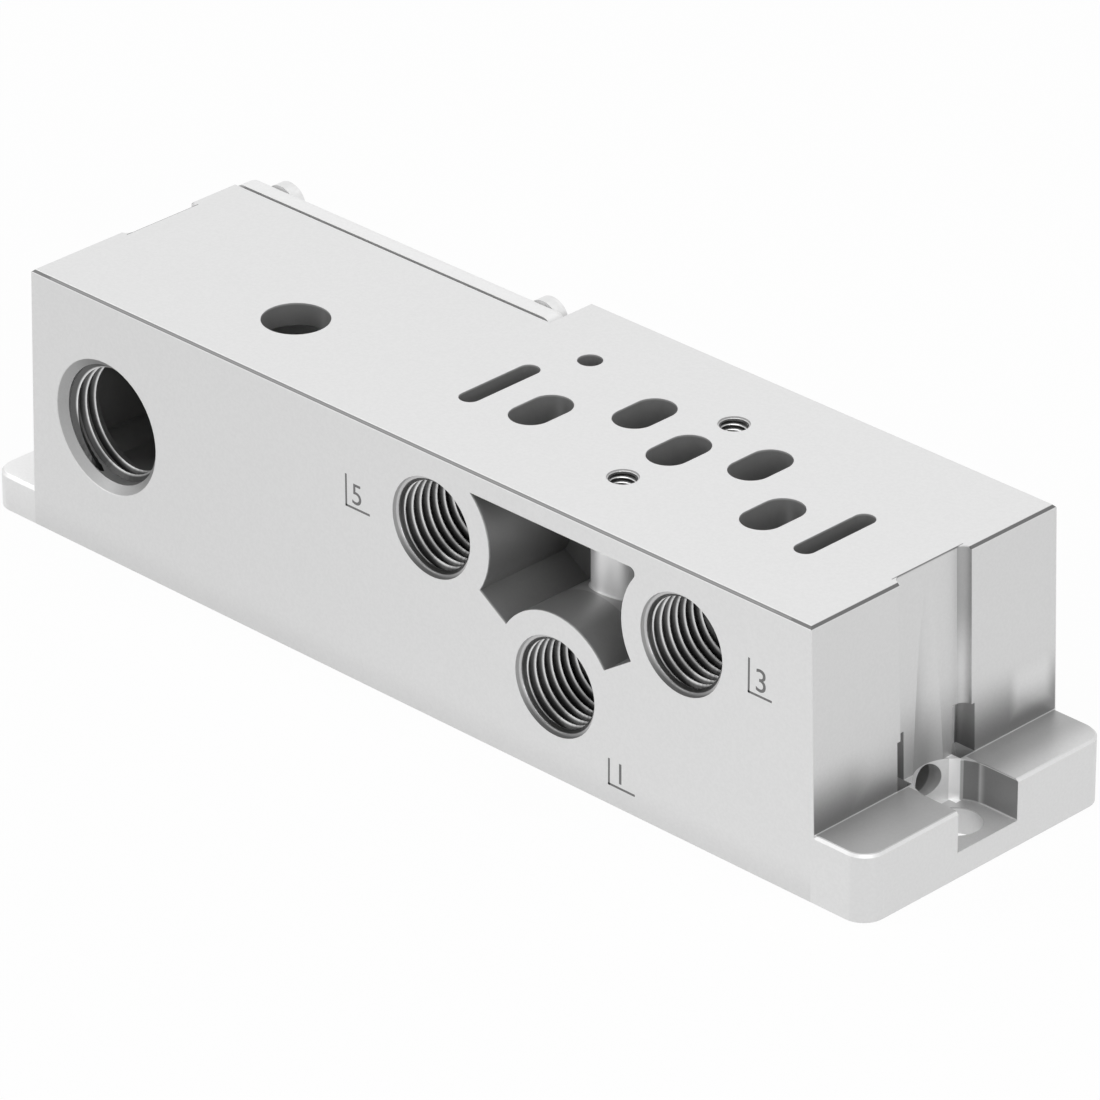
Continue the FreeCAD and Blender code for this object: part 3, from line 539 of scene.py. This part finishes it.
@dataclass(frozen=True)
class ZincSteel:
    """Bright zinc-plated steel of the screws."""

    dull: float = 0.72
    bright: float = 0.8
    roughness: tuple = (0.28, 0.4375)
    metallic: float = 1.0
    marks_scale: float = 2500.0
    marks_depth: float = 0.003 * MM

    def make(self) -> bpy.types.Material:
        """Return the material."""
        shader = Shader("zinc_steel")
        marks = shader.grain(self.marks_scale)
        colour = shader.blend(marks, grey(self.dull), grey(self.bright))
        rough = shader.ramp(marks, NOISE_LOW, NOISE_HIGH, *self.roughness)
        relief = shader.bump(marks, self.marks_depth)
        return shader.surface(colour, rough, self.metallic, relief)


@dataclass(frozen=True)
class SoftRubber:
    """Matt black rubber of the cover's seal."""

    dark: float = 0.03
    light: float = 0.048
    roughness: float = 0.7
    metallic: float = 0.0
    marks_scale: float = 1500.0
    marks_depth: float = 0.01 * MM

    def make(self) -> bpy.types.Material:
        """Return the material."""
        shader = Shader("seal_rubber")
        marks = shader.grain(self.marks_scale)
        colour = shader.blend(marks, grey(self.dark), grey(self.light))
        relief = shader.bump(marks, self.marks_depth)
        return shader.surface(colour, self.roughness, self.metallic, relief)


@dataclass(frozen=True)
class NumberShade:
    """Dark grey of the port numbers: painted shade that stands in for the shadow of their raised
    lines, which are only a hundredth of a millimetre high here.
    """

    level: float = 0.16
    roughness: float = 0.6
    metallic: float = 0.2

    def make(self) -> bpy.types.Material:
        """Return the material."""
        return Shader("number_painted_shade").surface(grey(self.level), self.roughness, self.metallic)


def settle(mesh: bmesh.types.BMesh, name: str, material: bpy.types.Material,
           smooth: bool = True) -> bpy.types.Object:
    """Turn a finished bmesh into a piece that rides with the subbase.

    Args:
        mesh: the piece's mesh, in place; it is freed.
        name: name of the piece.
        material: finish of all its faces.
        smooth: whether its faces are shaded smooth.

    Returns:
        The new object.
    """
    bmesh.ops.recalc_face_normals(mesh, faces=mesh.faces[:])
    data = bpy.data.meshes.new(name)
    for face in mesh.faces:
        face.smooth = smooth
    mesh.to_mesh(data)
    mesh.free()
    piece = bpy.data.objects.new(name, data)
    bpy.context.scene.collection.objects.link(piece)
    data.materials.append(material)
    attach(piece, ROOT)
    log.info("%s: %d faces", name, len(data.polygons))
    return piece


@dataclass(frozen=True)
class ThreadForm:
    """Radii and pitch of a thread, and the shares of the pitch that its ridge takes."""

    outer: float
    inner: float
    pitch: float
    crest: float = 0.09
    root: float = 0.97


@dataclass(frozen=True)
class ThreadMetal:
    """Cut metal of a thread, with a painted highlight on the crests and painted shade in the
    grooves.

    The span of the groove is a share of the ridge's height, and the span of the painted shade on
    the hole's lower side a share of the outer radius, from the hole's axis upwards. The lead-in
    cone gets painted shade as well.
    """

    crest_highlight: float = 0.85
    groove_shade: float = 0.11
    groove_span: tuple = (0.03, 0.36)
    cone_shade: float = 0.5
    cone_share: float = 0.9
    cone_blend: float = 0.01 * MM
    shaded_gain: float = 0.35
    shaded_span: tuple = (-1.0, -0.3)
    roughness: float = 0.3
    metallic: float = 0.85
    marks_scale: float = 3000.0
    marks_depth: float = 0.003 * MM

    def make(self, bore: "ThreadedBore") -> bpy.types.Material:
        """Return the material of one threaded hole.

        Args:
            bore: the hole, whose axis and radii the bright and dark parts follow.

        Returns:
            The finished material.
        """
        shader = Shader(f"{bore.name}_metal")
        axes = shader.axes()
        along = [number for number, part in enumerate(bore.facing.value) if part][0]
        middle = tuple(value for number, value in enumerate(bore.mouth) if number != along)
        height = bore.form.outer - bore.form.inner
        dark_from, dark_to = (bore.form.inner + share * height for share in self.groove_span)
        # Painted highlight on the crests, painted shade in the grooves.
        groove = shader.ramp(shader.radius(axes, along, middle), dark_from, dark_to)
        colour = shader.blend(groove, grey(self.crest_highlight), grey(self.groove_shade))
        # Painted shade on the lead-in cone.
        if bore.lead:
            inward = shader.math("SUBTRACT", axes[along], bore.mouth[along])
            cone = shader.ramp(shader.math("ABSOLUTE", inward), bore.lead * self.cone_share,
                               bore.lead + self.cone_blend, 1, 0)
            colour = shader.blend(cone, colour, grey(self.cone_shade))
        # Painted shade on the lower side of a hole that opens sideways.
        if bore.facing is not Facing.UP:
            rise = shader.math("SUBTRACT", axes[2], bore.mouth[2])
            low, high = (share * bore.form.outer for share in self.shaded_span)
            colour = shader.scaled(colour, shader.ramp(rise, low, high, self.shaded_gain, 1.0))
        relief = shader.bump(shader.grain(self.marks_scale), self.marks_depth)
        return shader.surface(colour, self.roughness, self.metallic, relief)


@dataclass(frozen=True)
class ThreadedBore:
    """The thread and the lead-in cone inside a plain bore of the casting.

    The thread starts at some depth behind the mouth and at some angle, and its ridge fades in
    and out over a share of a turn, with its ends sunk into the wall.
    """

    name: str
    mouth: tuple
    facing: Facing
    form: ThreadForm
    length: float
    start: float
    lead: float = 0.0
    first_angle: float = 0.0
    steps_per_turn: int = 56
    fade: float = 0.3
    sunk: float = 0.06 * MM

    def build(self) -> None:
        """Build the thread, and the lead-in where the bore has one."""
        metal = ThreadMetal().make(self)
        self.thread(metal)
        if self.lead:
            self.lead_in(metal)

    def sweep(self, corners: tuple, drop: float, angle: float, steps: int,
              closed: bool) -> bmesh.types.BMesh:
        """Spin a section round the hole's axis.

        Args:
            corners: radius and height of the section's corners.
            drop: how much lower each step is.
            angle: whole angle of the spin.
            steps: number of steps.
            closed: whether the last section is merged with the first.

        Returns:
            The swept mesh, built down -Z from the origin.
        """
        mesh = bmesh.new()
        section = mesh.faces.new([mesh.verts.new((radius, 0, z)) for radius, z in corners])
        bmesh.ops.spin(
            mesh, geom=[section, *section.edges, *section.verts], cent=(0, 0, 0), axis=(0, 0, 1),
            dvec=(0, 0, -drop), angle=angle, steps=steps, use_merge=closed,
            use_normal_flip=False, use_duplicate=False)
        return mesh

    def place(self, mesh: bmesh.types.BMesh) -> None:
        """Turn and move a mesh that was built down -Z from the origin into the bore."""
        bmesh.ops.transform(mesh, matrix=self.facing.turn(), verts=mesh.verts[:])
        bmesh.ops.translate(mesh, vec=Vector(self.mouth), verts=mesh.verts[:])

    def thread(self, material: bpy.types.Material) -> bpy.types.Object:
        """Sweep the ridge's section along the thread's helix.

        Args:
            material: finish of the thread.

        Returns:
            The thread as one piece.
        """
        form = self.form
        half_root, half_crest = form.pitch * form.root / 2, form.pitch * form.crest / 2
        first = -self.start - half_root
        corners = (
            (form.outer, first + half_root),
            (form.inner, first + half_crest),
            (form.inner, first - half_crest),
            (form.outer, first - half_root),
        )
        steps = round((self.length - form.pitch) / form.pitch * self.steps_per_turn)
        angle = -2 * math.pi * steps / self.steps_per_turn
        mesh = self.sweep(corners, form.pitch / self.steps_per_turn, angle, steps, False)
        rims = [edge for edge in mesh.edges if edge.is_boundary]
        bmesh.ops.holes_fill(mesh, edges=rims, sides=len(corners))
        self.run_out(mesh, len(corners), steps)
        turn = Matrix.Rotation(self.first_angle, 3, "Z")
        bmesh.ops.rotate(mesh, cent=(0, 0, 0), matrix=turn, verts=mesh.verts[:])
        self.place(mesh)
        return settle(mesh, self.name, material, smooth=False)

    def run_out(self, mesh: bmesh.types.BMesh, per_step: int, steps: int) -> None:
        """Let the ridge fade into the bore's wall at both of its ends.

        Args:
            mesh: the swept ridge, its points in the order of the sweep.
            per_step: points of one section.
            steps: number of sections after the first.
        """
        reach = self.steps_per_turn * self.fade
        half_step = 0.5
        hidden = self.form.outer + self.sunk
        mesh.verts.ensure_lookup_table()
        for number, vert in enumerate(mesh.verts):
            step = number // per_step
            nearest_end = min(step, steps - step)
            height = min(1.0, (nearest_end + half_step) / reach)
            radius = math.hypot(vert.co.x, vert.co.y)
            wanted = hidden - (hidden - radius) * height
            vert.co.x *= wanted / radius
            vert.co.y *= wanted / radius

    def lead_in(self, material: bpy.types.Material) -> bpy.types.Object:
        """Turn the cone between the face and the first thread.

        Args:
            material: finish of the cone.

        Returns:
            The cone as one closed ring.
        """
        outer, inner = self.form.outer, self.form.inner
        corners = ((outer, 0.0), (inner, -self.lead), (outer, -self.lead))
        mesh = self.sweep(corners, 0.0, 2 * math.pi, self.steps_per_turn, True)
        inside = [face for face in mesh.faces if len(face.verts) == len(corners)]
        bmesh.ops.delete(mesh, geom=inside, context="FACES_ONLY")
        self.place(mesh)
        return settle(mesh, f"{self.name}_lead_in", material)


@dataclass(frozen=True)
class PortNumber:
    """A port's number in the corner of a square, on the front face."""

    numeral: str
    left: float
    low: float
    width: float
    height: float
    text_size: float
    face_y: float = -21.0 * MM
    relief: float = 0.01 * MM
    line: float = 0.3 * MM
    text_aside: float = 1.0 * MM
    text_above: float = 0.75 * MM

    def build(self, material: bpy.types.Material) -> bpy.types.Object:
        """Lay two lines and a numeral on the face.

        Args:
            material: finish of the number.

        Returns:
            The number as one piece.
        """
        mesh = bmesh.new()
        self.bar(mesh, self.line, self.height)
        self.bar(mesh, self.width, self.line)
        self.glyph(mesh)
        return settle(mesh, f"port_number_{self.numeral}", material, smooth=False)

    def bar(self, mesh: bmesh.types.BMesh, width: float, height: float) -> None:
        """Add one straight line from the square's corner to the mesh.

        Args:
            mesh: mesh of the number.
            width: reach of the line along X.
            height: reach of the line along Z.
        """
        made = bmesh.ops.create_cube(mesh, size=1.0)["verts"]
        bmesh.ops.scale(mesh, vec=(width, self.relief, height), verts=made)
        middle = (self.left + width / 2, self.face_y, self.low + height / 2)
        bmesh.ops.translate(mesh, vec=middle, verts=made)

    def glyph(self, mesh: bmesh.types.BMesh) -> None:
        """Add the numeral to the mesh."""
        curve = bpy.data.curves.new(f"port_{self.numeral}_text", "FONT")
        curve.body = self.numeral
        curve.size = self.text_size
        curve.extrude = self.relief / 2
        text = bpy.data.objects.new(curve.name, curve)
        bpy.context.scene.collection.objects.link(text)
        bpy.context.view_layer.update()
        evaluated = text.evaluated_get(bpy.context.evaluated_depsgraph_get())
        shape = bpy.data.meshes.new_from_object(evaluated)
        before = len(mesh.verts)
        mesh.from_mesh(shape)
        mesh.verts.ensure_lookup_table()
        corner = (self.left + self.text_aside, self.face_y, self.low + self.text_above)
        upright = Matrix.Translation(corner) @ Matrix.Rotation(math.pi / 2, 4, "X")
        bmesh.ops.transform(mesh, matrix=upright, verts=mesh.verts[before:])
        bpy.data.meshes.remove(shape)
        bpy.data.objects.remove(text)
        bpy.data.curves.remove(curve)


@dataclass(frozen=True)
class Ports:
    """All threaded holes that show, with their threads.

    Ports in front and behind are given by number, X and Z, and the valve screws by Y, in
    millimetres.
    """

    front_y: float = -21.0 * MM
    rear_y: float = 21.0 * MM
    top_z: float = 36.0 * MM
    front: tuple = (("5", 4.4, 25.9), ("1", 25.0, 12.3), ("3", 45.6, 25.9))
    rear: tuple = (("4", 14.5, 25.9), ("2", 35.5, 25.9))
    screws: tuple = (("front", -9.5), ("rear", 9.5))
    screw_x: float = 25.0 * MM
    pipe: ThreadForm = ThreadForm(6.56 * MM, 5.72 * MM, 1.337 * MM)
    gland: ThreadForm = ThreadForm(7.98 * MM, 7.2 * MM, 1.5 * MM, root=0.8)
    screw: ThreadForm = ThreadForm(1.99 * MM, 1.62 * MM, 0.7 * MM)

    def build(self) -> None:
        """Cut the threads of the air ports, the gland port and the valve screws."""
        for rows, facing, plane in ((self.front, Facing.FRONT, self.front_y),
                                    (self.rear, Facing.REAR, self.rear_y)):
            for numeral, across, up in rows:
                ThreadedBore(
                    f"port_{numeral}_thread", (across * MM, plane, up * MM), facing, self.pipe,
                    length=11.5 * MM, start=0.05 * MM, lead=0.95 * MM).build()
        ThreadedBore(
            "gland_thread", (-53.06 * MM, self.front_y, 18.56 * MM), Facing.FRONT, self.gland,
            length=5.25 * MM, start=1.03 * MM, fade=0.2,
            first_angle=math.radians(-108.0)).build()
        for name, across in self.screws:
            ThreadedBore(
                f"valve_screw_thread_{name}", (self.screw_x, across * MM, self.top_z),
                Facing.UP, self.screw, length=9.0 * MM, start=0.2 * MM, lead=0.35 * MM,
                steps_per_turn=32).build()


@dataclass(frozen=True)
class Numbers:
    """Port numbers on the front face.

    Each row gives the numeral, and in millimetres the square's left and lower side, its width
    and height, and the size of the text.
    """

    rows: tuple = (
        ("5", -10.3, 23.5, 4.2, 4.4, 4.0),
        ("3", 56.2, 23.8, 3.8, 4.6, 4.3),
        ("1", 33.8, 2.6, 4.4, 3.6, 4.0),
    )

    def build(self, material: bpy.types.Material) -> None:
        """Build each number with its square."""
        for numeral, *measures in self.rows:
            PortNumber(numeral, *(value * MM for value in measures)).build(material)


@dataclass(frozen=True)
class CadNodes:
    """The solids that stay as they are and only get their finish, by material slot."""

    slots: tuple = (
        ("subbase_body", Slot.CASTING),
        ("rear_cover", Slot.CASTING),
        ("cover_seal", Slot.SEAL),
        ("cover_screw_1", Slot.SCREW),
        ("cover_screw_2", Slot.SCREW),
        ("cover_screw_3", Slot.SCREW),
        ("cover_screw_4", Slot.SCREW),
    )

    def dress(self, nodes: dict, finishes: dict) -> None:
        """Give every node its material.

        Args:
            nodes: the frame's nodes by name.
            finishes: the material of each slot.
        """
        for name, slot in self.slots:
            materials = nodes[name].data.materials
            materials.clear()
            materials.append(finishes[slot])
            log.info("%s: %s", name, finishes[slot].name)


@dataclass(frozen=True)
class PhotoCamera:
    """The camera that fits the photograph's edges, in a frame of 1100 by 1100 pixels."""

    frame_px: float = 1100.0
    focal_px: float = 7884.26
    middle_px: tuple = (557.74, 565.455)
    azimuth: float = math.radians(44.653)
    elevation: float = math.radians(28.306)
    roll: float = math.radians(-0.128)
    distance: float = 919.682 * MM
    aside: float = 0.727 * MM
    lift: float = -6.371 * MM
    target: tuple = (25.0 * MM, -21.463 * MM, 36.0 * MM)
    far_clip: float = 20.0

    def build(self) -> None:
        """Create the camera and make it the scene's own."""
        back = Vector((math.sin(self.azimuth) * math.cos(self.elevation),
                       -math.cos(self.azimuth) * math.cos(self.elevation),
                       math.sin(self.elevation)))
        level = Vector((math.cos(self.azimuth), math.sin(self.azimuth), 0))
        rise = back.cross(level)
        right = level * math.cos(self.roll) + rise * math.sin(self.roll)
        upward = rise * math.cos(self.roll) - level * math.sin(self.roll)
        data = bpy.data.cameras.new("photo_camera")
        data.sensor_fit = "HORIZONTAL"
        data.lens = data.sensor_width * self.focal_px / self.frame_px
        data.shift_x = (self.frame_px / 2 - self.middle_px[0]) / self.frame_px
        data.shift_y = (self.middle_px[1] - self.frame_px / 2) / self.frame_px
        data.clip_end = self.far_clip
        camera = bpy.data.objects.new("photo_camera", data)
        aim = Vector(self.target) + right * self.aside + upward * self.lift
        turn = Matrix((right, upward, back)).transposed().to_4x4()
        camera.matrix_world = Matrix.Translation(aim + back * self.distance) @ turn
        bpy.context.scene.collection.objects.link(camera)
        bpy.context.scene.camera = camera


@dataclass(frozen=True)
class SoftBox:
    """One large round lamp, aimed at the middle of the subbase."""

    name: str
    place: tuple
    size: float
    power: float
    aim: tuple = (0.0, 0.0, 18.0 * MM)

    def build(self) -> None:
        """Hang the lamp."""
        data = bpy.data.lights.new(self.name, "AREA")
        data.shape = "DISK"
        data.size = self.size
        data.energy = self.power
        lamp = bpy.data.objects.new(self.name, data)
        away = Vector(self.place) - Vector(self.aim)
        turn = away.to_track_quat("Z", "Y").to_matrix().to_4x4()
        lamp.matrix_world = Matrix.Translation(self.place) @ turn
        bpy.context.scene.collection.objects.link(lamp)


@dataclass(frozen=True)
class Studio:
    """White floor and surroundings with soft lamps."""

    floor_size: float = 8.0
    floor_level: float = 0.85
    floor_glow: float = 0.93
    ambient: float = 0.55
    shown: float = 1.0
    lamps: tuple = (
        SoftBox("overhead", (0.25, -0.15, 1.5), 1.3, 9.0),
        SoftBox("front_left", (-1.1, -1.2, 0.8), 1.0, 5.0),
        SoftBox("front_right", (1.4, -0.5, 0.7), 0.9, 4.0),
    )

    def build(self) -> None:
        """Build floor, world and lamps."""
        self.world()
        self.floor()
        for lamp in self.lamps:
            lamp.build()

    def seen(self, tree: bpy.types.NodeTree) -> Socket:
        """Find the rays that look at the surroundings or mirror them.

        Args:
            tree: node tree of the world or of a material.

        Returns:
            The socket of a value that is 1 for those rays and 0 for others.
        """
        path = tree.nodes.new("ShaderNodeLightPath").outputs
        total = path["Is Camera Ray"]
        for name in ("Is Glossy Ray", "Is Transmission Ray"):
            node = tree.nodes.new("ShaderNodeMath")
            node.operation = "MAXIMUM"
            tree.links.new(total, node.inputs[0])
            tree.links.new(path[name], node.inputs[1])
            total = node.outputs[0]
        return total

    def world(self) -> None:
        """Light the scene evenly and show white beyond the floor."""
        world = bpy.data.worlds.new("white_room")
        bpy.context.scene.world = world
        world.use_nodes = True
        tree = world.node_tree
        tree.nodes.clear()
        lit = tree.nodes.new("ShaderNodeBackground")
        lit.inputs["Strength"].default_value = self.ambient
        white = tree.nodes.new("ShaderNodeBackground")
        white.inputs["Strength"].default_value = self.shown
        for node in (lit, white):
            node.inputs["Color"].default_value = grey(1.0)
        mix = tree.nodes.new("ShaderNodeMixShader")
        tree.links.new(self.seen(tree), mix.inputs[0])
        tree.links.new(lit.outputs[0], mix.inputs[1])
        tree.links.new(white.outputs[0], mix.inputs[2])
        output = tree.nodes.new("ShaderNodeOutputWorld")
        tree.links.new(mix.outputs[0], output.inputs["Surface"])

    def floor(self) -> None:
        """Lay the floor that the subbase stands on."""
        mesh = bmesh.new()
        bmesh.ops.create_grid(mesh, x_segments=1, y_segments=1, size=self.floor_size / 2)
        data = bpy.data.meshes.new("studio_floor")
        mesh.to_mesh(data)
        mesh.free()
        floor = bpy.data.objects.new("studio_floor", data)
        bpy.context.scene.collection.objects.link(floor)
        data.materials.append(self.pale_floor())

    def pale_floor(self) -> bpy.types.Material:
        """Return the floor's material, matt for light and nearly white to look at."""
        material = bpy.data.materials.new("pale_floor")
        material.use_nodes = True
        tree = material.node_tree
        tree.nodes.clear()
        matt = tree.nodes.new("ShaderNodeBsdfDiffuse")
        matt.inputs["Color"].default_value = grey(self.floor_level)
        white = tree.nodes.new("ShaderNodeEmission")
        white.inputs["Color"].default_value = grey(1.0)
        share = tree.nodes.new("ShaderNodeMath")
        share.operation = "MULTIPLY"
        share.inputs[1].default_value = self.floor_glow
        tree.links.new(self.seen(tree), share.inputs[0])
        mix = tree.nodes.new("ShaderNodeMixShader")
        tree.links.new(share.outputs[0], mix.inputs[0])
        tree.links.new(matt.outputs[0], mix.inputs[1])
        tree.links.new(white.outputs[0], mix.inputs[2])
        output = tree.nodes.new("ShaderNodeOutputMaterial")
        tree.links.new(mix.outputs[0], output.inputs["Surface"])
        return material


def main() -> None:
    """Load the frame, dress it and set up studio and camera."""
    logging.basicConfig(level=logging.INFO, format="%(name)s: %(message)s")
    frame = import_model()
    bpy.context.scene.view_settings.view_transform = "Standard"
    finishes = {
        Slot.CASTING: BlastedAluminium().make(),
        Slot.SCREW: ZincSteel().make(),
        Slot.SEAL: SoftRubber().make(),
    }
    CadNodes().dress(frame["nodes"], finishes)
    Ports().build()
    Numbers().build(NumberShade().make())
    PhotoCamera().build()
    Studio().build()


if __name__ == "__main__":
    main()
